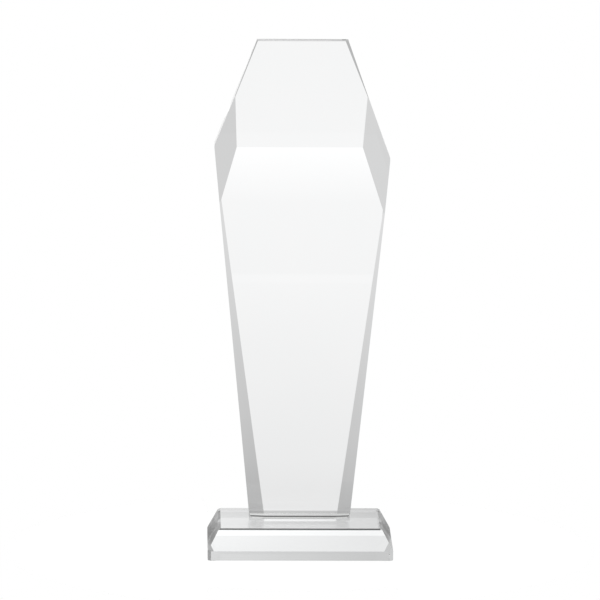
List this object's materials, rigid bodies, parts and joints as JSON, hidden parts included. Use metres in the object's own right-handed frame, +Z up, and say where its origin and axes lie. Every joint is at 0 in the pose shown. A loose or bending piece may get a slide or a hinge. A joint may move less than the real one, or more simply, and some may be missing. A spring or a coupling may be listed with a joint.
{
  "type": "crystal award",
  "caption": "Clear crystal award: a tall faceted tower, narrow at the foot and broad at the shoulders, bonded upright on a low bevelled base block.",
  "frame": {"origin": "middle of the base's underside, on the surface that the award stands on", "axes": "+Z up along the tower, -Y out of the award's front, where the sloping facet and the front bevels are, +X to the right as seen from the front"},
  "size_m": [0.0906, 0.0622, 0.2503],
  "materials": {
    "tower_crystal": "clear optical crystal, flat facets polished to a mirror finish",
    "base_crystal": "clear optical crystal, flat facets polished to a mirror finish",
    "clear_adhesive": "water-clear cured adhesive"
  },
  "bodies": {
    "root": {"crystal_base": "base_crystal", "adhesive_film": "clear_adhesive", "crystal_tower": "tower_crystal"}
  },
  "joints": []
}
